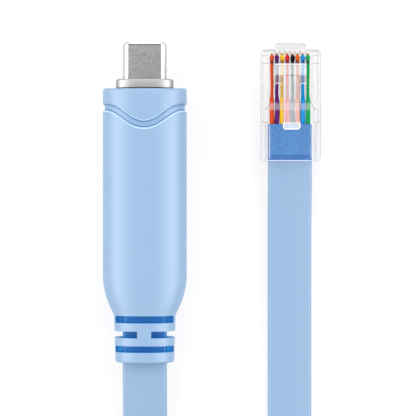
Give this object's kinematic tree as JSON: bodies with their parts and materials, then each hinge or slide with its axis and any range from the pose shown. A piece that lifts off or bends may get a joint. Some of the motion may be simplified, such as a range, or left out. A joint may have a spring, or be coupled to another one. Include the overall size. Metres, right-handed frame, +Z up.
{
  "type": "console cable",
  "caption": "Flat console lead with a moulded type-C adapter at one end and a clear modular plug at the other, its spare cable wound into a tied hank.",
  "frame": {"origin": "on the floor, under the middle of the adapter's box", "axes": "+Z up, +Y along the adapter towards the tip of its type-C plug, +X towards the modular plug"},
  "size_m": [0.0643, 0.2482, 0.0123],
  "materials": {
    "housing": "pale blue moulded plastic, satin",
    "cable": "pale blue cable jacket, satin",
    "shell": "nickel-plated steel, satin",
    "liner": "black moulded plastic",
    "gold": "gold-plated contacts",
    "clear": "clear moulded plastic",
    "tie": "black hook-and-loop tape",
    "wire_orange_red": "orange-red insulation",
    "wire_purple": "purple insulation",
    "wire_yellow": "yellow insulation",
    "wire_red": "red insulation",
    "wire_black": "black insulation",
    "wire_orange": "orange insulation",
    "wire_blue": "blue insulation",
    "wire_green": "green insulation"
  },
  "bodies": {
    "lead": {"adapter_housing": "housing", "type_c_shell": "shell", "type_c_collar": "shell", "type_c_liner": "liner", "type_c_contact_upper_01": "gold", "type_c_contact_upper_02": "gold", "type_c_contact_upper_03": "gold", "type_c_contact_upper_04": "gold", "type_c_contact_upper_05": "gold", "type_c_contact_upper_06": "gold", "type_c_contact_upper_07": "gold", "type_c_contact_upper_08": "gold", "type_c_contact_upper_09": "gold", "type_c_contact_upper_10": "gold", "type_c_contact_upper_11": "gold", "type_c_contact_upper_12": "gold", "type_c_contact_lower_01": "gold", "type_c_contact_lower_02": "gold", "type_c_contact_lower_03": "gold", "type_c_contact_lower_04": "gold", "type_c_contact_lower_05": "gold", "type_c_contact_lower_06": "gold", "type_c_contact_lower_07": "gold", "type_c_contact_lower_08": "gold", "type_c_contact_lower_09": "gold", "type_c_contact_lower_10": "gold", "type_c_contact_lower_11": "gold", "type_c_contact_lower_12": "gold", "cable_adapter_lead": "cable", "cable_plug_lead": "cable", "cable_hank": "cable", "hank_tie_left": "tie", "hank_tie_right": "tie", "modular_plug_body": "clear", "contact_blade_1": "gold", "contact_blade_2": "gold", "contact_blade_3": "gold", "contact_blade_4": "gold", "contact_blade_5": "gold", "contact_blade_6": "gold", "contact_blade_7": "gold", "contact_blade_8": "gold", "wire_1": "wire_orange_red", "wire_2": "wire_purple", "wire_3": "wire_yellow", "wire_4": "wire_red", "wire_5": "wire_black", "wire_6": "wire_orange", "wire_7": "wire_blue", "wire_8": "wire_green"},
    "latch": {"plug_latch": "clear"}
  },
  "joints": [
    {"name": "latch_press", "type": "hinge", "parent": "lead", "child": "latch", "pos_m": [0.0285, 0.0271, 0.0063], "axis": [1, 0, 0], "range_deg": [0, 12], "stiffness_Nm_per_rad": 0.15}
  ]
}
